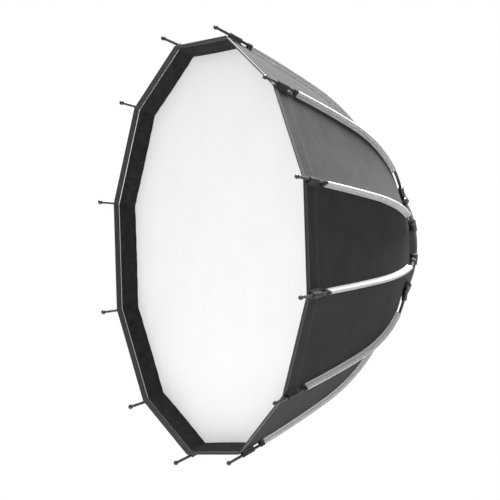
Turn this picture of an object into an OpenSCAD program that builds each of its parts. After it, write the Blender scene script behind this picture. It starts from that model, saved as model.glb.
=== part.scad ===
// Folding 12-rib softbox with a three-lug bayonet ring. Millimetres, +Z up.
// The front faces -Y. The origin is the centre of the ring's rear face, where it meets the lamp.

/* [Hub] */
// Distance of each rib hinge from the axis
pivot_r = 88; // [80:1:110]
// Height of the rib hinges in front of the mount face
pivot_z = 15; // [14:0.5:20]
// Half the width of the hub across two opposite flats
hub_apothem = 85; // [82:1:100]
// Thickness of the front housing
housing_h = 14; // [13:0.5:18]
// Thickness of the rear plate
plate_h = 4; // [3:0.5:7]
// Width of the hinge eyes
eye_w = 8; // [7:0.5:12]
// Radius of the steel hinge pins
pin_r = 2; // [1.5:0.1:3]

/* [Bayonet ring] */
// Outer radius of the ring's flange
flange_r = 72; // [70:0.5:76]
// Thickness of the flange
flange_h = 4; // [3:0.5:6]
// Radius of the light passage
bore_r = 44; // [40:0.5:46]
// Outer radius of the collar that enters the lamp
collar_r = 48.5; // [47:0.25:49]
// Length of the collar behind the flange
collar_h = 10; // [8:0.5:12]
// Outer radius over the three lugs
lug_r = 53; // [51:0.5:55]

/* [Ribs] */
// Bend radius of the rear part of each rib
bend_r = 328; // [280:1:420]
// Bend radius of the front part of each rib
front_r = 1739; // [1200:1:2500]
// Lean of a rib away from the axis where it leaves the hinge
phi_hub = 61.4; // [50:0.2:70]
// Lean of a rib where its two bends meet
phi_mid = 29.4; // [24:0.2:36]
// Lean of a rib at its tip
phi_tip = 23.4; // [18:0.2:28]
// Radius of the ribs
rod_r = 2; // [1.5:0.1:3]
// Radius of the ball caps on the tips
cap_r = 3.4; // [2.8:0.1:5]
// Width of the woven sleeves
sleeve_w = 10; // [8:0.5:16]

/* [Cloth] */
// Distance of the front rim from the mount face
rim_z = 294; // [240:1:400]
// Thickness of the shell cloth with its lining
cloth_t = 1; // [0.6:0.1:2]
// Distance of the shell inside the rib centrelines
shell_d = 4.4; // [4.4:0.1:8]
// Depth of the diffuser behind the rim
recess = 26; // [10:1:60]
// Width of the hook tape inside the rim
tape_w = 36; // [24:1:60]

/* [Part] */
// Sub-part to show

/* [Hidden] */
$fn = 64;
n_ribs = 12;
step = 360 / n_ribs;
half = step / 2;
gap = 0.3;
fit = 0.05;
big = 400;
hub_r = hub_apothem / cos(half);
plate_z = flange_h;
plate_bore = 58;
housing_z = plate_z + plate_h;
housing_top = housing_z + housing_h;
slot_w = eye_w + 2 * gap;
slot_r = 72;
eye_r = 6.5;
flat_r = pivot_r - eye_r + 0.8;
socket_r = 4;
socket_len = 26;
rod_start = 10;
housing_bore = 62;
leaf_t = 0.8;
leaf_w = 7;
leaf_h = 11;
cheek = 3;
block_w = slot_w + 2 * cheek;
block_r = 6.5;
pin_len = block_w - 0.6;
side_h = 10;
rear_r = 79.5;
seam_r = 82.5;
waist_r = 84;
screw_r = 1.5;
screw_head_r = 3;
screw_head_h = 1.7;
screw_len = 9.5;
ring_h = 2.5;
ring_z = housing_top + 2.2;
screw_circle = 68;
insert_screw_circle = 64;
arc_steps = 14;
sleeve_phi = 52;
sleeve_h = 2.9;
sleeve_t = 0.6;
sleeve_z = rim_z - 40;
socket_room = 116;
hem_r = 86;
hem_z = housing_top + gap;
binding_w = 5;
binding_t = 0.8;
pocket_r = 3;
pocket_low = rim_z - 24;
pocket_high = rim_z - 6.5;
tape_d = shell_d + cloth_t + gap;
tape_t = 1;
tape_high = rim_z - 6;
diffuser_z = rim_z - recess;
diffuser_d = tape_d + tape_t + gap;
diffuser_t = 1.2;
diffuser_edge = 15;
lug_angle = 32;
lug_h = 4;

// The rib curve is two tangent arcs in the plane [distance from axis, height].
hinge = [pivot_r, pivot_z];
knee = hinge + rod_start * [sin(phi_hub), cos(phi_hub)];
bend_c = knee + bend_r * [-cos(phi_hub), sin(phi_hub)];
middle = bend_c + bend_r * [cos(phi_mid), -sin(phi_mid)];
front_c = middle + front_r * [-cos(phi_mid), sin(phi_mid)];

// A point on the rear or the front arc at lean phi, moved d towards the axis.
function rear_at(phi, d) = bend_c + (bend_r - d) * [cos(phi), -sin(phi)];
function front_at(phi, d) = front_c + (front_r - d) * [cos(phi), -sin(phi)];
// The lean of the front arc at height z.
function lean_at(z, d) = asin((front_c[1] - z) / (front_r - d));
// The curve's distance from the axis at height z, on the front arc.
function radius_at(z, d) = front_at(lean_at(z, d), d)[0];
// The curve from the hub to height z, in equal steps along each arc.
function rear_run(d) = [
  for (i = [0 : arc_steps]) rear_at(phi_hub + (phi_mid - phi_hub) * i / arc_steps, d)
];
function front_run(z, d) = [
  for (i = [1 : arc_steps / 2]) front_at(phi_mid + (lean_at(z, d) - phi_mid) * i * 2 / arc_steps, d)
];
function whole_run(z, d) = concat(rear_run(d), front_run(z, d));
function backwards(list) = [for (i = [len(list) - 1 : -1 : 0]) list[i]];
// Panels are flat across, so their middles lie nearer the axis than the ribs.
function to_panel(list) = [for (p = list) [p[0] * cos(half), p[1]]];

// Local +Z is the way the light leaves, and it becomes -Y.
module face_front() {
  rotate([90, 0, 0]) children();
}

module at_rib(i) {
  rotate([0, 0, half + step * (i - 1)]) children();
}

// Draws a section, given as [distance from axis, height], as a straight bar w wide.
module bar(points, w) {
  rotate([90, 0, 0])
    translate([0, 0, -w / 2])
      linear_extrude(height = w) polygon(points);
}

module wedge(h) {
  linear_extrude(height = h)
    polygon([[0, 0], [big, -big * tan(half)], [big, big * tan(half)]]);
}

// One panel of a twelve-sided ring, from its section at a rib.
module panel(points) {
  intersection() {
    bar(to_panel(points), big);
    wedge(big);
  }
}

module all_panels(points) {
  for (i = [0 : n_ribs - 1]) {
    rotate([0, 0, step * i]) panel(points);
  }
}

// Sweeps a section along the rear arc between two leans.
module rear_sweep(phi_a, phi_b) {
  translate([bend_c[0], 0, bend_c[1]])
    rotate([90, 0, 0])
      rotate([0, 0, -phi_a])
        rotate_extrude(angle = phi_a - phi_b)
          translate([bend_r, 0]) children();
}

// Sweeps a section along the front arc between two leans.
module front_sweep(phi_a, phi_b) {
  translate([front_c[0], 0, front_c[1]])
    rotate([90, 0, 0])
      rotate([0, 0, -phi_a])
        rotate_extrude(angle = phi_a - phi_b)
          translate([front_r, 0]) children();
}

module rib_sweep(phi_a, phi_b) {
  rear_sweep(phi_a, phi_mid) children();
  front_sweep(phi_mid, phi_b) children();
}

module twelve_sided(h, r) {
  rotate([0, 0, half]) cylinder(h = h, r = r, $fn = 12);
}

module pin_shape(r, l) {
  translate([pivot_r, l / 2, pivot_z])
    rotate([90, 0, 0]) cylinder(h = l, r = r);
}

module rod(i) {
  tip = front_at(phi_tip, 0);
  color("dimgray") face_front() at_rib(i) {
    rib_sweep(phi_hub, phi_tip) circle(r = rod_r);
    translate([tip[0], 0, tip[1]])
      rotate([0, phi_tip, 0])
        translate([0, 0, 1 + fit])
          difference() {
            sphere(r = cap_r);
            translate([0, 0, -cap_r - 1]) cylinder(h = cap_r, r = rod_r + fit);
          }
  }
}

module knuckle(i) {
  color("black") face_front() at_rib(i) difference() {
    union() {
      pin_shape(eye_r, eye_w);
      translate([pivot_r, 0, pivot_z])
        rotate([0, phi_hub, 0]) cylinder(h = socket_len, r = socket_r);
    }
    pin_shape(pin_r + fit, eye_w + 2);
    translate([0, -eye_w, 0]) cube([flat_r, 2 * eye_w, housing_top]);
    rear_sweep(phi_hub, phi_hub - 6) circle(r = rod_r + fit);
  }
}

module sleeve(i) {
  color("silver") face_front() at_rib(i)
    rib_sweep(sleeve_phi, lean_at(sleeve_z, 0)) difference() {
      square([2 * sleeve_h, sleeve_w], center = true);
      square([2 * (sleeve_h - sleeve_t), sleeve_w - 2 * sleeve_t], center = true);
    }
}

module gore(i) {
  section = concat(
    whole_run(rim_z, shell_d),
    backwards(whole_run(rim_z, shell_d + cloth_t)),
    [[hem_r, hem_z + cloth_t], [hem_r, hem_z]]
  );
  color("black") face_front() rotate([0, 0, step * (i - 1)]) difference() {
    panel(section);
    for (s = [-1, 1]) {
      rotate([0, 0, s * half]) knuckle_room();
    }
  }
}

// The space that a hinge and its socket need in the cloth.
module knuckle_room() {
  translate([slot_r + 4, -slot_w / 2 - 0.7, housing_top - 4])
    cube([socket_room - slot_r - 4, slot_w + 1.4, 16]);
}

// A point of the front arc's section at height z.
function edge(z, d) = [radius_at(z, d), z];

module rim_binding() {
  out = shell_d - gap;
  in = shell_d + cloth_t + gap;
  low = rim_z - binding_w;
  high = rim_z + gap;
  color("black") face_front() all_panels([
    edge(low, out - binding_t),
    edge(high + binding_t, out - binding_t),
    edge(high + binding_t, in + binding_t),
    edge(low, in + binding_t),
    edge(low, in),
    edge(high, in),
    edge(high, out),
    edge(low, out)
  ]);
}

module hook_tape() {
  low = tape_high - tape_w;
  color("black") face_front() all_panels([
    edge(low, tape_d),
    edge(tape_high, tape_d),
    edge(tape_high, tape_d + tape_t),
    edge(low, tape_d + tape_t)
  ]);
}

module tip_pockets() {
  color("black") face_front() for (i = [1 : n_ribs]) {
    at_rib(i)
      front_sweep(lean_at(pocket_low, 0), lean_at(pocket_high, 0)) difference() {
        circle(r = pocket_r);
        circle(r = rod_r + gap);
      }
  }
}

module front_diffuser() {
  low = diffuser_z - diffuser_edge;
  inner_d = diffuser_d + diffuser_t;
  plate_r = radius_at(diffuser_z, diffuser_d + diffuser_t / 2);
  color("white") face_front() {
    translate([0, 0, diffuser_z - diffuser_t]) twelve_sided(diffuser_t, plate_r);
    all_panels([
      edge(low, diffuser_d),
      edge(diffuser_z, diffuser_d),
      edge(diffuser_z, inner_d),
      edge(low, inner_d)
    ]);
  }
}

module screw(slack) {
  cylinder(h = screw_head_h, r1 = screw_head_r + slack, r2 = screw_r + slack);
  cylinder(h = screw_len + slack, r = screw_r + slack);
}

// Six screws hold the bayonet ring and the rear plate on the housing, and six the clamp ring.
module screw_places() {
  for (a = [0 : 60 : 300]) {
    rotate([0, 0, a]) translate([insert_screw_circle, 0, 0]) children();
    rotate([0, 0, a + step])
      translate([screw_circle, 0, ring_z + ring_h]) mirror([0, 0, 1]) children();
  }
}

module screws() {
  color("gainsboro") face_front() screw_places() difference() {
    screw(0);
    translate([0, 0, -1]) cylinder(h = 2.2, r = 1.1, $fn = 6);
  }
}

module rib_slots(from_r, w) {
  for (i = [1 : n_ribs]) {
    at_rib(i) translate([from_r, -w / 2, -1]) cube([big, w, 60]);
  }
}

// The two cheeks of each hinge stand out from the housing as one slotted block.
module hinge_block() {
  translate([slot_r - 2, -block_w / 2, housing_top - side_h + 1])
    cube([pivot_r - slot_r + 2, block_w, side_h - 2]);
  pin_shape(block_r, block_w);
}

// Twelve flat sides in front, narrowing to a round edge at the rear plate.
module hub_housing() {
  color("black") face_front() difference() {
    union() {
      translate([0, 0, housing_z]) cylinder(h = housing_h - side_h, r1 = seam_r, r2 = waist_r);
      translate([0, 0, housing_top - side_h]) twelve_sided(side_h, hub_r);
      for (i = [1 : n_ribs]) {
        at_rib(i) hinge_block();
      }
    }
    translate([0, 0, housing_z - 1]) cylinder(h = housing_h + 2, r = housing_bore);
    rib_slots(slot_r, slot_w);
    for (i = [1 : n_ribs]) {
      at_rib(i) pin_shape(pin_r, pin_len);
    }
    screw_places() screw(fit);
  }
}

module rear_plate() {
  color("black") face_front() difference() {
    translate([0, 0, plate_z]) cylinder(h = plate_h, r1 = rear_r, r2 = seam_r);
    translate([0, 0, plate_z - 1]) cylinder(h = plate_h + 2, r = plate_bore);
    screw_places() screw(fit);
  }
}

// Clamps the hem of the cloth on the housing.
module clamp_ring() {
  color("black") face_front() difference() {
    union() {
      translate([0, 0, ring_z]) twelve_sided(ring_h, hem_r + 3);
      translate([0, 0, housing_top]) twelve_sided(ring_h, hem_r - 1);
    }
    translate([0, 0, housing_top - 1]) cylinder(h = 2 * ring_h + 4, r = housing_bore);
    rib_slots(pivot_r - 8, slot_w + 1.4);
    screw_places() screw(fit);
  }
}

module hinge_pins() {
  color("gainsboro") face_front() for (i = [1 : n_ribs]) {
    at_rib(i) pin_shape(pin_r, pin_len);
  }
}

// Each leaf lies behind the flat of a hinge eye and holds the rib open.
module leaf_springs() {
  high = flat_r - gap;
  color("silver") face_front() for (i = [1 : n_ribs]) {
    at_rib(i) rotate([90, 0, 0])
      translate([0, 0, -leaf_w / 2])
        linear_extrude(height = leaf_w) polygon([
          [slot_r + 2, housing_z],
          [high, housing_z],
          [high, housing_z + leaf_h],
          [high - leaf_t, housing_z + leaf_h],
          [high - leaf_t, housing_z + leaf_t],
          [slot_r + 2, housing_z + leaf_t]
        ]);
  }
}

module bayonet_ring() {
  color("silver") face_front() difference() {
    union() {
      cylinder(h = flange_h, r = flange_r);
      translate([0, 0, -collar_h]) cylinder(h = collar_h + 1, r = collar_r);
      for (a = [0 : 120 : 240]) {
        rotate([0, 0, a - lug_angle / 2])
          translate([0, 0, -collar_h])
            rotate_extrude(angle = lug_angle)
              translate([collar_r - 1, 0]) square([lug_r - collar_r + 1, lug_h]);
      }
    }
    translate([0, 0, -collar_h - 1]) cylinder(h = collar_h + flange_h + 2, r = bore_r);
    screw_places() screw(fit);
  }
}

module rod_01() {
  rod(1);
}

module rod_02() {
  rod(2);
}

module rod_03() {
  rod(3);
}

module rod_04() {
  rod(4);
}

module rod_05() {
  rod(5);
}

module rod_06() {
  rod(6);
}

module rod_07() {
  rod(7);
}

module rod_08() {
  rod(8);
}

module rod_09() {
  rod(9);
}

module rod_10() {
  rod(10);
}

module rod_11() {
  rod(11);
}

module rod_12() {
  rod(12);
}

module knuckle_01() {
  knuckle(1);
}

module knuckle_02() {
  knuckle(2);
}

module knuckle_03() {
  knuckle(3);
}

module knuckle_04() {
  knuckle(4);
}

module knuckle_05() {
  knuckle(5);
}

module knuckle_06() {
  knuckle(6);
}

module knuckle_07() {
  knuckle(7);
}

module knuckle_08() {
  knuckle(8);
}

module knuckle_09() {
  knuckle(9);
}

module knuckle_10() {
  knuckle(10);
}

module knuckle_11() {
  knuckle(11);
}

module knuckle_12() {
  knuckle(12);
}

module sleeve_01() {
  sleeve(1);
}

module sleeve_02() {
  sleeve(2);
}

module sleeve_03() {
  sleeve(3);
}

module sleeve_04() {
  sleeve(4);
}

module sleeve_05() {
  sleeve(5);
}

module sleeve_06() {
  sleeve(6);
}

module sleeve_07() {
  sleeve(7);
}

module sleeve_08() {
  sleeve(8);
}

module sleeve_09() {
  sleeve(9);
}

module sleeve_10() {
  sleeve(10);
}

module sleeve_11() {
  sleeve(11);
}

module sleeve_12() {
  sleeve(12);
}

module gore_01() {
  gore(1);
}

module gore_02() {
  gore(2);
}

module gore_03() {
  gore(3);
}

module gore_04() {
  gore(4);
}

module gore_05() {
  gore(5);
}

module gore_06() {
  gore(6);
}

module gore_07() {
  gore(7);
}

module gore_08() {
  gore(8);
}

module gore_09() {
  gore(9);
}

module gore_10() {
  gore(10);
}

module gore_11() {
  gore(11);
}

module gore_12() {
  gore(12);
}

bayonet_ring();
rear_plate();
hub_housing();
clamp_ring();
hinge_pins();
leaf_springs();
screws();
rod_01();
rod_02();
rod_03();
rod_04();
rod_05();
rod_06();
rod_07();
rod_08();
rod_09();
rod_10();
rod_11();
rod_12();
knuckle_01();
knuckle_02();
knuckle_03();
knuckle_04();
knuckle_05();
knuckle_06();
knuckle_07();
knuckle_08();
knuckle_09();
knuckle_10();
knuckle_11();
knuckle_12();
sleeve_01();
sleeve_02();
sleeve_03();
sleeve_04();
sleeve_05();
sleeve_06();
sleeve_07();
sleeve_08();
sleeve_09();
sleeve_10();
sleeve_11();
sleeve_12();
gore_01();
gore_02();
gore_03();
gore_04();
gore_05();
gore_06();
gore_07();
gore_08();
gore_09();
gore_10();
gore_11();
gore_12();
rim_binding();
hook_tape();
tip_pockets();
front_diffuser();
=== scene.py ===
import math

import bpy
import numpy as np
from mathutils import Matrix, Vector


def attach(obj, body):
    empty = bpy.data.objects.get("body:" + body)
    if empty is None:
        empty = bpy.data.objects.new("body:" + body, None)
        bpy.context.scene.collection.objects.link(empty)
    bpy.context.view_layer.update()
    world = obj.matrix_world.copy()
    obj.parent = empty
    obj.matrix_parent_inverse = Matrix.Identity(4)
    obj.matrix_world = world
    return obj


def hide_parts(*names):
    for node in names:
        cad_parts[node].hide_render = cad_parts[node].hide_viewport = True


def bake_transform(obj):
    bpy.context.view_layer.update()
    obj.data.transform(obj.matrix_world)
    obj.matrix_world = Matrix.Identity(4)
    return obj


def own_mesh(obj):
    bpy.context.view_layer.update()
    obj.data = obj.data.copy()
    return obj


# The row frame: the light leaves along -Y, +Z is up, and the origin is the centre of the bayonet
# ring's rear face. Lengths below are in millimetres until to_row() turns them into metres.
# "s" runs along a rib from its hinge to the rim, "t" runs across it, and "d" is a depth below the
# rib's centreline, towards the axis.

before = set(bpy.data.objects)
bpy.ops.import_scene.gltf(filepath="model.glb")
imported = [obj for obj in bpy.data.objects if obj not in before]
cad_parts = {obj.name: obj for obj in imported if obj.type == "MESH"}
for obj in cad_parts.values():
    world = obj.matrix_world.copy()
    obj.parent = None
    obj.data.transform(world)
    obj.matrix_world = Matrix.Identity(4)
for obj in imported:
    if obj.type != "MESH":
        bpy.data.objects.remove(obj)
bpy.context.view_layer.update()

RIBS = 12
STEP = math.radians(360 / RIBS)
HALF = STEP / 2
TAN_HALF = math.tan(HALF)
PIVOT = np.array([88.0, 15.0])
ROD_START = 10.0
BEND_R, FRONT_R = 328.0, 1739.0
PHI_HUB, PHI_MID = math.radians(61.4), math.radians(29.4)
RIM_Z = 294.0
SHELL_D = 4.4
SHELL_T = 0.9
RECESS = 26.0
HEM_R, HEM_Z, HEM_RUN = 86.0, 22.3, 9.0
CLOTH_BOW = 2.6
BLEND_END, NOTCH_END, NOTCH_HALF = 12.0, 25.5, 5.0
BODY_BANDS = 14
UV_SHIFT = 0.37
TAPE_LOW, TAPE_HIGH, TAPE_D, TAPE_T = RIM_Z - 42, RIM_Z - 6, 5.7, 0.9
DIFFUSER_Z, DIFFUSER_D, DIFFUSER_T = RIM_Z - RECESS, 7.6, 0.6
SLEEVE_PHI, SLEEVE_Z = 52.0, RIM_Z - 40
POCKET_LOW, POCKET_HIGH = RIM_Z - 24, RIM_Z - 6.5


def lean(phi):
    return np.array([math.cos(phi), -math.sin(phi)])


KNEE = PIVOT + ROD_START * np.array([math.sin(PHI_HUB), math.cos(PHI_HUB)])
BEND_C = KNEE - BEND_R * lean(PHI_HUB)
FRONT_C = BEND_C + (BEND_R - FRONT_R) * lean(PHI_MID)
REAR_LEN = BEND_R * (PHI_HUB - PHI_MID)
S_RIM = REAR_LEN + FRONT_R * (PHI_MID - math.asin((FRONT_C[1] - RIM_Z) / FRONT_R))


def rib(s, d=0.0):
    """The point at s along a rib, d below its centreline, and the rib's lean there.

    The point is (distance from the axis, height).
    """
    if s < REAR_LEN:
        phi = PHI_HUB - s / BEND_R
        return BEND_C + (BEND_R - d) * lean(phi), phi
    phi = PHI_MID - (s - REAR_LEN) / FRONT_R
    return FRONT_C + (FRONT_R - d) * lean(phi), phi


def s_at(z, d=0.0):
    """Where along the front of a rib the curve d below it reaches height z."""
    return REAR_LEN + FRONT_R * (PHI_MID - math.asin((FRONT_C[1] - z) / (FRONT_R - d)))


def to_row(r, t, z, angle):
    """A point r from the axis and t across a rib's plane, at height z.

    The result is in the row frame and in metres.
    """
    x = r * math.cos(angle) - t * math.sin(angle)
    y = r * math.sin(angle) + t * math.cos(angle)
    return Vector((x * 0.001, -z * 0.001, y * 0.001))


def rib_angle(i):
    return HALF + STEP * (i - 1)


def panel_point(s, u, d):
    """A point of the shell, at depth d.

    u from -1 to 1 spans half a panel on each side of a rib.
    """
    p, _ = rib(max(s, 0.0), d)
    if s < 0:
        hem = np.array([HEM_R, HEM_Z + d - SHELL_D])
        p = p + (hem - p) * (-s / HEM_RUN)
    r, z = p
    t = u * r * math.cos(HALF) * math.sin(HALF)
    # stretched cloth curves in a little between the ribs, most at the middle of the box
    share = max(0.0, min(1.0, s / S_RIM))
    bow = CLOTH_BOW * math.sin(math.pi * share) * (1 - (1 - abs(u)) ** 2)
    return r - abs(t) * TAN_HALF - bow, t, z


# ---------------------------------------------------------------- materials


class Shade:
    """A small helper that builds one procedural material."""

    def __init__(self, name):
        self.m = bpy.data.materials.new(name)
        self.m.use_nodes = True
        self.nodes, self.links = self.m.node_tree.nodes, self.m.node_tree.links
        self.bsdf = next(n for n in self.nodes if n.type == "BSDF_PRINCIPLED")

    def set(self, **values):
        for key, value in values.items():
            self.bsdf.inputs[key.replace("_", " ")].default_value = value
        return self

    def node(self, kind, inputs=None, **props):
        n = self.nodes.new(kind)
        for key, value in props.items():
            setattr(n, key, value)
        for key, value in (inputs or {}).items():
            if hasattr(value, "node"):
                self.links.new(value, n.inputs[key])
            else:
                n.inputs[key].default_value = value
        return n

    def math(self, op, a, b=0.0):
        n = self.node("ShaderNodeMath", operation=op)
        for k, v in enumerate((a, b)):
            if hasattr(v, "node"):
                self.links.new(v, n.inputs[k])
            else:
                n.inputs[k].default_value = v
        return n.outputs[0]

    def coords(self, uv=False, scale=(1, 1, 1), turn=0.0):
        source = self.node("ShaderNodeTexCoord").outputs["UV" if uv else "Object"]
        return self.node(
            "ShaderNodeMapping", {"Vector": source, "Scale": scale, "Rotation": (0, 0, turn)}
        ).outputs[0]

    def noise(self, where, scale, detail=3.0, rough=0.5):
        return self.node(
            "ShaderNodeTexNoise",
            {"Vector": where, "Scale": scale, "Detail": detail, "Roughness": rough},
        ).outputs["Fac"]

    def ramp(self, fac, stops):
        n = self.node("ShaderNodeValToRGB", {"Fac": fac})
        e = n.color_ramp.elements
        while len(e) < len(stops):
            e.new(0.5)
        for k, (at, c) in enumerate(stops):
            e[k].position = at
            e[k].color = c if len(c) == 4 else (*c, 1)
        return n.outputs[0]

    def mix(self, fac, a, b, mode="MIX"):
        n = self.node("ShaderNodeMix", data_type="RGBA", blend_type=mode)
        for k, v in ((0, fac), (6, a), (7, b)):
            if hasattr(v, "node"):
                self.links.new(v, n.inputs[k])
            else:
                n.inputs[k].default_value = v if k == 0 or len(v) == 4 else (*v, 1)
        return n.outputs[2]

    def colour(self, socket):
        self.links.new(socket, self.bsdf.inputs["Base Color"])
        return self

    def rough(self, socket):
        self.links.new(socket, self.bsdf.inputs["Roughness"])
        return self

    def bump(self, height, strength, distance=0.0003):
        n = self.node(
            "ShaderNodeBump", {"Height": height, "Strength": strength, "Distance": distance}
        )
        self.links.new(n.outputs[0], self.bsdf.inputs["Normal"])
        return self

    def weave(self, where, per_metre):
        """Two crossed sets of threads."""
        sep = self.node("ShaderNodeSeparateXYZ", {"Vector": where})
        f = per_metre * 2 * math.pi
        a = self.math("SINE", self.math("MULTIPLY", sep.outputs[0], f))
        b = self.math("SINE", self.math("MULTIPLY", sep.outputs[1], f))
        return self.math("ADD", self.math("MULTIPLY", self.math("MULTIPLY", a, b), 0.5), 0.5)

    def stitches(self, uv, axis, at, width, length):
        """1 on a dashed line where the UV coordinate across equals at (m)."""
        sep = self.node("ShaderNodeSeparateXYZ", {"Vector": uv})
        off = self.math("ABSOLUTE", self.math("SUBTRACT", sep.outputs[axis], at))
        on = self.math("LESS_THAN", off, width)
        dash = self.math("FRACT", self.math("DIVIDE", sep.outputs[1 - axis], length))
        return self.math("MULTIPLY", on, self.math("LESS_THAN", dash, 0.68))


def cloth_shell():
    k = Shade("shell_nylon").set(Roughness=1.0, Specular_IOR_Level=0.2)
    uv = k.coords(uv=True)
    speck = k.noise(k.coords(scale=(1, 1, 1)), 900, 2, 0.7)
    cloud = k.noise(k.coords(scale=(1, 1, 1)), 26, 4, 0.55)
    base = k.ramp(speck, [(0.32, (0.010, 0.010, 0.011)), (0.68, (0.036, 0.036, 0.038))])
    base = k.mix(0.35, base, k.ramp(cloud, [(0.3, (0.011,) * 3), (0.75, (0.030,) * 3)]))
    thread = k.stitches(uv, 1, (S_RIM - 27) * 0.001, 0.0006, 0.0034)
    base = k.mix(thread, base, (0.05, 0.05, 0.052))
    k.colour(base)
    fold = k.noise(k.coords(scale=(1, 1, 1)), 55, 3, 0.5)
    crinkle = k.noise(k.coords(scale=(1, 1, 1)), 240, 2, 0.6)
    threads = k.math("MULTIPLY", k.weave(uv, 900), 0.25)
    height = k.math("ADD", threads, k.math("MULTIPLY", fold, 2.2))
    height = k.math("ADD", height, k.math("MULTIPLY", crinkle, 1.6))
    height = k.math("ADD", height, k.math("MULTIPLY", speck, 0.7))
    k.bump(k.math("ADD", height, k.math("MULTIPLY", thread, 0.6)), 0.55)
    return k.m


def cloth_lining():
    k = Shade("silver_lining").set(Roughness=0.34, Metallic=0.75)
    speck = k.noise(k.coords(), 260, 3, 0.6)
    k.colour(k.ramp(speck, [(0.3, (0.55, 0.55, 0.56)), (0.7, (0.82, 0.82, 0.83))]))
    k.bump(speck, 0.5)
    return k.m


def cloth_white():
    k = Shade("diffuser_white").set(Roughness=0.85, Sheen_Weight=0.15)
    uv = k.coords(uv=True)
    soft = k.noise(k.coords(), 14, 3, 0.5)
    base = k.ramp(soft, [(0.3, (0.885, 0.885, 0.887)), (0.7, (0.91, 0.91, 0.911))])
    k.colour(base)
    k.bump(k.math("ADD", k.weave(uv, 1400), k.math("MULTIPLY", soft, 1.5)), 0.22, 0.0002)
    return k.m


def tape(name, dark, light, thread_colour, stitch_at):
    k = Shade(name).set(Roughness=0.55, Specular_IOR_Level=0.25)
    uv = k.coords(uv=True)
    twill = k.node(
        "ShaderNodeTexWave",
        {"Vector": k.coords(uv=True, turn=0.7), "Scale": 160, "Distortion": 0.6, "Detail": 1.0},
        bands_direction="X",
    ).outputs["Fac"]
    worn = k.noise(k.coords(), 380, 3, 0.6)
    base = k.ramp(twill, [(0.2, dark), (0.85, light)])
    base = k.mix(0.35, base, k.ramp(worn, [(0.35, dark), (0.7, light)]))
    lines = None
    for at in stitch_at:
        one = k.stitches(uv, 0, at, 0.00035, 0.003)
        lines = one if lines is None else k.math("ADD", lines, one)
    height = k.math("ADD", k.math("MULTIPLY", twill, 0.7), k.math("MULTIPLY", worn, 0.5))
    if lines is not None:
        base = k.mix(lines, base, thread_colour)
        height = k.math("ADD", height, lines)
    k.colour(base)
    k.bump(height, 0.6, 0.00025)
    return k.m


def hook():
    k = Shade("hook_black").set(Roughness=0.95, Specular_IOR_Level=0.12, Sheen_Weight=0.02)
    loops = k.node("ShaderNodeTexVoronoi", {"Vector": k.coords(), "Scale": 900}).outputs["Distance"]
    fuzz = k.noise(k.coords(), 120, 4, 0.7)
    base = k.ramp(fuzz, [(0.3, (0.010,) * 3), (0.75, (0.026, 0.026, 0.028))])
    k.colour(base)
    k.bump(k.math("ADD", loops, fuzz), 0.8, 0.0005)
    return k.m


def plastic(name, low, high):
    k = Shade(name)
    grain = k.noise(k.coords(), 1500, 2, 0.5)
    scuff = k.noise(k.coords(), 90, 4, 0.65)
    k.colour(k.ramp(scuff, [(0.35, low), (0.75, high)]))
    k.rough(k.ramp(scuff, [(0.3, (0.34,) * 3), (0.7, (0.52,) * 3)]))
    k.bump(grain, 0.25, 0.0001)
    return k.m


def metal(name, low, high, rough, grain_scale, stretch):
    k = Shade(name).set(Metallic=1.0)
    lines = k.noise(k.coords(scale=stretch), grain_scale, 3, 0.6)
    k.colour(k.ramp(lines, [(0.3, low), (0.7, high)]))
    k.rough(k.ramp(lines, [(0.3, (rough - 0.08,) * 3), (0.7, (rough + 0.08,) * 3)]))
    k.bump(lines, 0.2, 0.00008)
    return k.m


def grey(level):
    return (level,) * 3


SILVER = ((0.24, 0.245, 0.25), (0.50, 0.505, 0.515), (0.78, 0.78, 0.8))
BINDING = (grey(0.012), (0.045, 0.045, 0.048), (0.10, 0.10, 0.105))
POCKET = (grey(0.010), (0.036, 0.036, 0.04), (0.09, 0.09, 0.095))
STEEL = ((0.62, 0.62, 0.63), (0.80, 0.80, 0.81))
CAST = ((0.60, 0.61, 0.62), (0.74, 0.75, 0.76))
EVENLY = (1, 1, 1)

MAT = {
    "shell": cloth_shell(),
    "lining": cloth_lining(),
    "white": cloth_white(),
    "silver": tape("woven_silver", *SILVER, (-0.0042, 0.0042)),
    "binding": tape("binding_black", *BINDING, (0.0022,)),
    "pocket": tape("pocket_black", *POCKET, ()),
    "hook": hook(),
    "block": plastic("hinge_plastic", (0.012, 0.012, 0.013), (0.028, 0.028, 0.030)),
    "coat": plastic("powder_coat", (0.010, 0.010, 0.011), (0.026, 0.026, 0.028)),
    "rod": plastic("rod_black", (0.014, 0.014, 0.015), (0.034, 0.034, 0.036)),
    "steel": metal("bright_steel", *STEEL, 0.24, 600, EVENLY),
    "cast": metal("blasted_aluminium", *CAST, 0.42, 900, EVENLY),
}

NODE_MATERIALS = {
    "bayonet_ring": "cast",
    "rear_plate": "coat",
    "hub_housing": "coat",
    "clamp_ring": "coat",
    "hinge_pins": "steel",
    "leaf_springs": "steel",
    "screws": "steel",
}
for i in range(1, RIBS + 1):
    NODE_MATERIALS[f"rod_{i:02d}"] = "rod"
    NODE_MATERIALS[f"knuckle_{i:02d}"] = "block"
for name, key in NODE_MATERIALS.items():
    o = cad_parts[name]
    o.data.materials.clear()
    o.data.materials.append(MAT[key])

# ---------------------------------------------------------------- meshes


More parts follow.
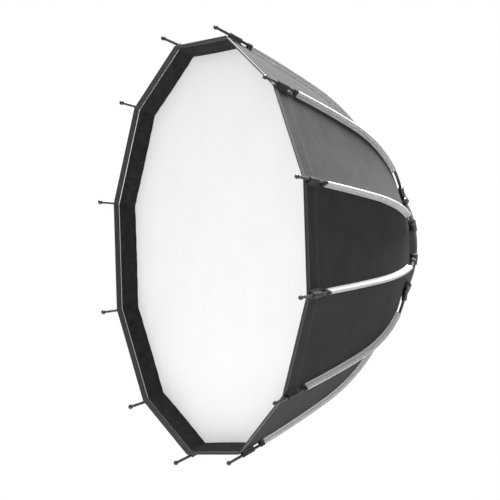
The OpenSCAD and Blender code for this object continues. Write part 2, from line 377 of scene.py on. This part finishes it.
def add_mesh(name, points, faces, uvs, materials, slots=None, sharp=()):
    mesh = bpy.data.meshes.new(name)
    mesh.from_pydata([tuple(p) for p in points], [], faces)
    for m in materials:
        mesh.materials.append(m)
    layer = mesh.uv_layers.new(name="uv")
    for loop in mesh.loops:
        layer.data[loop.index].uv = uvs[loop.vertex_index]
    for k, poly in enumerate(mesh.polygons):
        poly.use_smooth = k not in sharp
        if slots:
            poly.material_index = slots[k]
    mesh.update()
    o = bpy.data.objects.new(name, mesh)
    bpy.context.scene.collection.objects.link(o)
    return o


def grid_size(grid):
    """The area of a grid of points, its greatest width and its greatest length."""
    area = 0.0
    for a, b in zip(grid, grid[1:]):
        for k in range(len(a) - 1):
            area += (a[k + 1] - a[k]).cross(b[k] - a[k]).length / 2
            area += (b[k + 1] - b[k]).cross(b[k + 1] - a[k + 1]).length / 2
    wide = max(sum((q - p).length for p, q in zip(row, row[1:])) for row in grid)
    columns = list(zip(*grid))
    long = max(sum((q - p).length for p, q in zip(c, c[1:])) for c in columns)
    return area, wide, long


def sheet_grid(name, outer, inner, uv, materials, normals=None):
    """A closed thin sheet from two matching grids. The outer face gets the first material."""
    rows, cols = len(outer), len(outer[0])
    points = [p for row in outer for p in row] + [p for row in inner for p in row]
    uvs = [c for row in uv for c in row] * 2
    n = rows * cols
    faces, slots = [], []
    for i in range(rows - 1):
        for j in range(cols - 1):
            q = (i * cols + j, i * cols + j + 1, (i + 1) * cols + j + 1, (i + 1) * cols + j)
            faces += [q, tuple(n + k for k in reversed(q))]
            slots += [0, 1]
    edge = list(range(cols)) + [i * cols + cols - 1 for i in range(1, rows)]
    edge += [(rows - 1) * cols + j for j in range(cols - 2, -1, -1)]
    edge += [i * cols for i in range(rows - 2, 0, -1)]
    for a, b in zip(edge, edge[1:] + edge[:1]):
        faces.append((b, a, n + a, n + b))
        slots.append(0)
    walls = set(range(2 * (rows - 1) * (cols - 1), len(faces)))
    o = add_mesh(name, points, faces, uvs, materials, slots if len(materials) > 1 else None, walls)
    if normals is not None:
        every = [v for row in normals for v in row]
        o.data.normals_split_custom_set_from_vertices(every + [-v for v in every])
    return o


def declare(grid):
    """Works out the size a sheet was cut to, and does nothing further with it.

    That is its own size, because it is stretched flat.
    """
    area, wide, long = grid_size(grid)
    wide, long = max(wide, 0.0101), max(long, 0.0101)


def body(i):
    return f"rib_{i:02d}"


def narrow_with_rib(o, i):
    """The piece rides on a rib and gets its own copy of its mesh."""
    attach(o, body(i))
    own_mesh(o)


def cloth_band(name, i, s_values, u_values, depth, thick, materials, with_normals=True):
    """A closed band of cloth along the shell at a rib, depth below the rib's centreline."""
    angle = rib_angle(i)

    def point(s, u):
        return to_row(*panel_point(s, u, depth), angle)

    outer = [[point(s, u) for u in u_values] for s in s_values]
    inner = [
        [to_row(*panel_point(s, u, depth + thick), angle) for u in u_values] for s in s_values
    ]
    uv = [
        [(panel_point(s, u, depth)[1] * 0.001 + i * UV_SHIFT, s * 0.001) for u in u_values]
        for s in s_values
    ]
    normals = None
    if with_normals:
        normals = []
        for s in s_values:
            line = []
            for u in u_values:
                along = point(s + 0.4, u) - point(s - 0.4, u)
                sideways = point(s, min(u + 0.02, 1)) - point(s, max(u - 0.02, -1))
                line.append(sideways.cross(along).normalized())
            normals.append(line)
    o = sheet_grid(name, outer, inner, uv, materials, normals)
    declare(outer)
    return o


# ---------------------------------------------------------------- the shell

# Each rib has half a panel on each side, in bands; all but the first band ride on the rib. The
# first two bands are notched around the hinge block.
S_LIP = s_at(TAPE_LOW, SHELL_D)
S_END = s_at(RIM_Z, SHELL_D)
BODY_EDGES = np.linspace(NOTCH_END, S_LIP, BODY_BANDS + 1)[1:]
BAND_EDGES = [-HEM_RUN, BLEND_END, NOTCH_END, *BODY_EDGES, S_END]
BAND_STEP = 6.0
GORE_BAND = 3
HALF_COLUMNS = (0.035, 0.1, 0.24, 0.42, 0.62, 0.82, 1.0)
COLUMNS = [-u for u in reversed(HALF_COLUMNS)] + [0.0, *HALF_COLUMNS]


def notch_columns(side, s):
    """Columns from the edge of the notch to the middle of the panel."""
    p, _ = rib(max(s, 0.0), SHELL_D)
    near = NOTCH_HALF / (p[0] * math.cos(HALF) * math.sin(HALF))
    return [side * (near + (1 - near) * k / 6) for k in range(7)]


for i in range(1, RIBS + 1):
    for b in range(len(BAND_EDGES) - 1):
        low, high = BAND_EDGES[b], BAND_EDGES[b + 1]
        steps = max(3, int(round((high - low) / BAND_STEP)))
        s_values = list(np.linspace(low, high, steps + 1))
        cloth = [MAT["shell"], MAT["lining"]]
        name = f"shell_{i:02d}_{b + 1:02d}"
        if high > NOTCH_END:
            parts = [cloth_band(name, i, s_values, COLUMNS, SHELL_D, SHELL_T, cloth)]
        else:
            parts = []
            for side, tag in ((-1, "a"), (1, "b")):
                columns = notch_columns(side, (low + high) / 2)
                if side < 0:
                    columns = columns[::-1]
                half = cloth_band(name + tag, i, s_values, columns, SHELL_D, SHELL_T, cloth)
                parts.append(half)
        for o in parts:
            if b == 0:
                angle = rib_angle(i)
                start = to_row(HEM_R, 0, HEM_Z, angle)
                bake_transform(o)
            elif b == len(BAND_EDGES) - 2:
                narrow_with_rib(o, i)
            else:
                narrow_with_rib(o, i)
        if b == GORE_BAND:
            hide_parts(f"gore_{i:02d}")

# ---------------------------------------------------------------- lip: hook tape, rim binding


def ring_sweep(name, i, ring, u_values, materials):
    """Sweeps a closed section of (height, depth) points round the box over one rib's share."""
    angle = rib_angle(i)
    points, uvs, faces = [], [], []
    n = len(ring)
    run = np.concatenate([[0], np.cumsum([math.dist(a, b) for a, b in zip(ring, ring[1:])])])

    def point(u, z, d):
        return to_row(*panel_point(s_at(RIM_Z + z, d), u, d), angle)

    normals = []
    for u in u_values:
        for k, (z, d) in enumerate(ring):
            points.append(point(u, z, d))
            t = panel_point(s_at(RIM_Z + z, d), u, d)[1]
            uvs.append((t * 0.001 + i * UV_SHIFT, run[k] * 0.001))
            along = point(u, *ring[(k + 1) % n]) - point(u, *ring[k - 1])
            sideways = point(min(u + 0.02, 1), z, d) - point(max(u - 0.02, -1), z, d)
            normals.append(along.cross(sideways).normalized())
    if normals[1].dot(to_row(1, 0, 0, angle)) < 0:
        normals = [-v for v in normals]
    for a in range(len(u_values) - 1):
        for k in range(n):
            after = (k + 1) % n
            faces.append((a * n + k, (a + 1) * n + k, (a + 1) * n + after, a * n + after))
    faces.append(tuple(range(n)))
    faces.append(tuple((len(u_values) - 1) * n + k for k in reversed(range(n))))
    o = add_mesh(name, points, faces, uvs, materials)
    o.data.normals_split_custom_set_from_vertices(normals)
    return o, points


BINDING_RING = [
    (-5.0, 3.45), (-2.5, 3.3), (-0.4, 3.3), (0.7, 3.75), (1.05, 4.85), (0.7, 5.95), (-0.4, 6.35),
    (-2.5, 6.35), (-5.0, 6.25), (-5.0, 5.7), (-0.6, 5.75), (0.2, 4.85), (-0.6, 4.05), (-5.0, 4.05),
]

for i in range(1, RIBS + 1):
    s_values = list(np.linspace(s_at(TAPE_LOW, TAPE_D), s_at(TAPE_HIGH, TAPE_D), 7))
    o = cloth_band(f"hook_tape_{i:02d}", i, s_values, COLUMNS, TAPE_D, TAPE_T, [MAT["hook"]])
    narrow_with_rib(o, i)
    if i == 1:
        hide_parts("hook_tape")
    o, points = ring_sweep(f"binding_{i:02d}", i, BINDING_RING, COLUMNS, [MAT["binding"]])
    n = len(BINDING_RING)
    rows = [[points[a * n + k] for a in range(len(COLUMNS))] for k in range(9)]
    declare(rows)
    narrow_with_rib(o, i)
    if i == 1:
        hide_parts("rim_binding")

# ---------------------------------------------------------------- front diffuser

INNER_X = 190.0
OUTER_S = s_at(DIFFUSER_Z, DIFFUSER_D)


def diffuser_point(g, u, drop=0.0):
    """g runs from 0 at the inner line across a rib's plane to 1 at the edge of the cloth."""
    r, t, _ = panel_point(OUTER_S, u, DIFFUSER_D)
    x = INNER_X + (r - INNER_X) * g
    y = u * INNER_X * TAN_HALF * (1 - g) + t * g
    return x, y, diffuser_height(x, y) - drop


def diffuser_height(x, y):
    """The cloth is drawn back a little in the middle, and puckers faintly at its sewn edge."""
    reach = math.hypot(x, y) / 283
    ripple = 0.3 * math.sin(y / 4.1) * max(0.0, reach - 0.86) / 0.14
    return DIFFUSER_Z - 1.6 * (1 - reach**2) + ripple


def flat(grid):
    """Normals of a sheet that faces the front."""
    return [[Vector((0, -1, 0)) for _ in row] for row in grid]


def diffuser_uv(x, y, i):
    edge, _, _ = panel_point(OUTER_S, min(1.0, abs(y) / 72), DIFFUSER_D)
    return (y * 0.001 + i * UV_SHIFT, (edge - x) * 0.001)


for i in range(1, RIBS + 1):
    angle = rib_angle(i)
    bands = np.linspace(0, 1, 6)
    columns = list(np.linspace(-1, 1, 21))
    for b in range(5):
        g_values = np.linspace(bands[b], bands[b + 1], 5)
        where = [[diffuser_point(g, u) for u in columns] for g in g_values]
        front = [[to_row(*q, angle) for q in row] for row in where]
        rear = [[to_row(q[0], q[1], q[2] - DIFFUSER_T, angle) for q in row] for row in where]
        uv = [[diffuser_uv(q[0], q[1], i) for q in row] for row in where]
        front, rear, uv = ([row[::-1] for row in g] for g in (front, rear, uv))
        o = sheet_grid(f"diffuser_{i:02d}_{b + 1}", front, rear, uv, [MAT["white"]], flat(front))
        declare(front)
        x = diffuser_point((bands[b] + bands[b + 1]) / 2, 1)[0]
        narrow_with_rib(o, i)
        if i == 1 and b == 0:
            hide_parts("front_diffuser")
    # the middle draws back to the line where it meets the outer bands
    x_values = np.linspace(0.4, INNER_X, 20)
    front, rear, uv = [], [], []
    for x in x_values:
        ys = [u * x * TAN_HALF for u in reversed(columns)]
        front.append([to_row(x, y, diffuser_height(x, y), angle) for y in ys])
        rear.append([to_row(x, y, diffuser_height(x, y) - DIFFUSER_T, angle) for y in ys])
        uv.append([diffuser_uv(x, y, i) for y in ys])
    o = sheet_grid(f"diffuser_{i:02d}_middle", front, rear, uv, [MAT["white"]], flat(front))
    declare(front)
    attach(o, body(i))
    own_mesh(o)
    # the loop tape sewn behind its edge
    s_values = list(np.linspace(s_at(DIFFUSER_Z - 15, DIFFUSER_D), OUTER_S - 0.6, 5))
    name = f"diffuser_edge_{i:02d}"
    o = cloth_band(name, i, s_values, COLUMNS, TAPE_D + 1.1, TAPE_T, [MAT["white"]], False)
    narrow_with_rib(o, i)

# ---------------------------------------------------------------- trim sewn along the ribs


def offset(section, by):
    """A section of (across, out) points moved towards its left by a distance."""
    out = []
    for k in range(len(section)):
        a, b = section[max(k - 1, 0)], section[min(k + 1, len(section) - 1)]
        d = math.dist(a, b)
        out.append((section[k][0] + (b[1] - a[1]) / d * by, section[k][1] - (b[0] - a[0]) / d * by))
    return out


def sweep(name, section, s_values, angle, materials, thick, ends=0.0):
    """Sweeps an open section of (across, out) points along a rib.

    The result is a thin closed strip, thicker at its ends.
    """
    points, uvs, faces = [], [], []
    run = np.concatenate([[0], np.cumsum([math.dist(a, b) for a, b in zip(section, section[1:])])])
    run = list(run - run[-1] / 2)
    for s in s_values:
        near = min(s - s_values[0], s_values[-1] - s)
        more = ends * max(0.0, 1 - near / 2.0)
        ring = offset(section, -more) + list(reversed(offset(section, thick)))
        for k, (t, n) in enumerate(ring):
            p, _ = rib(s, -n)
            points.append(to_row(p[0], t, p[1], angle))
            uvs.append(((run + run[::-1])[k] * 0.001, s * 0.001))
    m = 2 * len(section)
    for a in range(len(s_values) - 1):
        for k in range(m):
            after = (k + 1) % m
            faces.append((a * m + k, a * m + after, (a + 1) * m + after, (a + 1) * m + k))
    faces.append(tuple(reversed(range(m))))
    faces.append(tuple((len(s_values) - 1) * m + k for k in range(m)))
    o = add_mesh(name, points, faces, uvs, materials, None, {len(faces) - 1, len(faces) - 2})
    rows = [[points[a * m + k] for k in range(len(section))] for a in range(len(s_values))]
    return o, rows


def mirrored(half):
    """A whole section from its right half, which starts on the rib's plane."""
    return [(-t, n) for t, n in reversed(half[1:])] + half


TAPE_SECTION = mirrored([
    (0, 2.65), (0.9, 2.52), (1.75, 2.0), (2.35, 1.1), (2.6, -0.2),
    (2.7, -1.8), (2.85, -3.3), (3.2, -4.4), (3.8, -4.85), (4.5, -5.05),
])
POCKET_SECTION = mirrored([
    (0, 3.3), (1.1, 3.15), (2.1, 2.6), (2.85, 1.6), (3.15, 0.2),
    (3.2, -1.4), (3.4, -2.6), (4.0, -3.6), (4.9, -4.1), (5.9, -4.45),
])
TAB_SECTION = [(t * 1.1, n + 0.42) for t, n in TAPE_SECTION]


def patch(name, i, low, high, half_width, depth, material):
    """A reinforcement patch with rounded corners, folded over the ridge of the shell."""
    angle = rib_angle(i)
    corner = 4.0
    s_low, s_high = s_at(low, depth), s_at(high, depth)
    outer, inner, uv = [], [], []
    for s in np.linspace(s_low, s_high, 25):
        near = min(s - s_low, s_high - s)
        cut = corner - math.sqrt(max(0.0, corner**2 - max(0.0, corner - near) ** 2))
        w = half_width - cut
        r = rib(s, depth)[0][0]
        us = [k * w / (r * math.cos(HALF) * math.sin(HALF)) for k in np.linspace(-1, 1, 15)]
        outer.append([to_row(*panel_point(s, u, depth), angle) for u in us])
        inner.append([to_row(*panel_point(s, u, depth + 0.5), angle) for u in us])
        uv.append([(w * k * 0.001, s * 0.001) for k in np.linspace(-1, 1, 15)])
    o = sheet_grid(name, outer, inner, uv, [material])
    declare(outer)
    return o


for i in range(1, RIBS + 1):
    angle = rib_angle(i)
    start = BEND_R * (PHI_HUB - math.radians(SLEEVE_PHI))
    s_values = list(np.linspace(start, s_at(SLEEVE_Z), 44))
    o, rows = sweep(f"tape_{i:02d}", TAPE_SECTION, s_values, angle, [MAT["silver"]], 0.45, 0.25)
    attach(o, body(i))
    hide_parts(f"sleeve_{i:02d}")
    declare(rows)
    s_values = list(np.linspace(s_at(SLEEVE_Z - 1.5), s_at(SLEEVE_Z + 4.5), 5))
    o, rows = sweep(f"tab_{i:02d}", TAB_SECTION, s_values, angle, [MAT["pocket"]], 0.35)
    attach(o, body(i))
    declare(rows)
    s_values = list(np.linspace(s_at(POCKET_LOW), s_at(POCKET_HIGH), 21))
    o, rows = sweep(f"pocket_{i:02d}", POCKET_SECTION, s_values, angle, [MAT["pocket"]], 0.7, 0.3)
    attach(o, body(i))
    declare(rows)
    if i == 1:
        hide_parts("tip_pockets")
    o = patch(f"patch_{i:02d}", i, RIM_Z - 31, RIM_Z - 5.5, 6.6, SHELL_D - 0.55, MAT["pocket"])
    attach(o, body(i))

# ---------------------------------------------------------------- stage, light and camera

floor = bpy.data.meshes.new("floor")
floor.from_pydata([(-8, -8, 0), (8, -8, 0), (8, 8, 0), (-8, 8, 0)], [], [(0, 1, 2, 3)])
ground = bpy.data.objects.new("floor", floor)
ground.location = (0, 0, -0.9)
bpy.context.scene.collection.objects.link(ground)
pale = Shade("floor_pale").set(Roughness=0.9)
clouds = pale.noise(pale.coords(), 3, 2, 0.5)
pale.colour(pale.ramp(clouds, [(0.3, grey(0.62)), (0.7, grey(0.66))]))
floor.materials.append(pale.m)

world = bpy.data.worlds.new("studio")
bpy.context.scene.world = world
world.use_nodes = True
world.node_tree.nodes["Background"].inputs[0].default_value = (1, 1, 1, 1)
world.node_tree.nodes["Background"].inputs[1].default_value = 1.0


def lamp(name, where, target, size, power, spread):
    data = bpy.data.lights.new(name, "AREA")
    data.shape = "RECTANGLE"
    data.size, data.size_y = size
    data.energy = power
    data.spread = spread
    o = bpy.data.objects.new(name, data)
    o.location = where
    o.rotation_euler = (Vector(target) - Vector(where)).to_track_quat("-Z", "Y").to_euler()
    bpy.context.scene.collection.objects.link(o)
    return o


lamp("key_top", (-0.2, 0.2, 2.0), (0, -0.1, 0), (1.0, 1.0), 40, 0.8)

AZ, EL, ROLL = (math.radians(a) for a in (62.63, -2.09, -1.73))
DISTANCE, FOCAL = 5.417, 3929.6
AIM = (43.57 / FOCAL, -2.64 / FOCAL)
PICTURE, SENSOR = 500, 36
centre = Vector((0, -RIM_Z * 0.001, 0))
back = Vector((math.sin(AZ) * math.cos(EL), -math.cos(AZ) * math.cos(EL), math.sin(EL)))
right = (-back).cross(Vector((0, 0, 1))).normalized()
up = right.cross(-back)
right, up = (
    right * math.cos(ROLL) + up * math.sin(ROLL),
    up * math.cos(ROLL) - right * math.sin(ROLL),
)
ahead = (-back + right * AIM[0] + up * AIM[1]).normalized()
right = (right - ahead * right.dot(ahead)).normalized()
up = right.cross(ahead)
camera = bpy.data.objects.new("camera", bpy.data.cameras.new("camera"))
camera.data.sensor_width = SENSOR
camera.data.lens = FOCAL / PICTURE * SENSOR
camera.data.clip_end = 60
camera.matrix_world = Matrix(
    [
        (right.x, up.x, -ahead.x, centre.x + back.x * DISTANCE),
        (right.y, up.y, -ahead.y, centre.y + back.y * DISTANCE),
        (right.z, up.z, -ahead.z, centre.z + back.z * DISTANCE),
        (0, 0, 0, 1),
    ]
)
bpy.context.scene.collection.objects.link(camera)
bpy.context.scene.camera = camera
bpy.context.scene.view_settings.view_transform = "Standard"
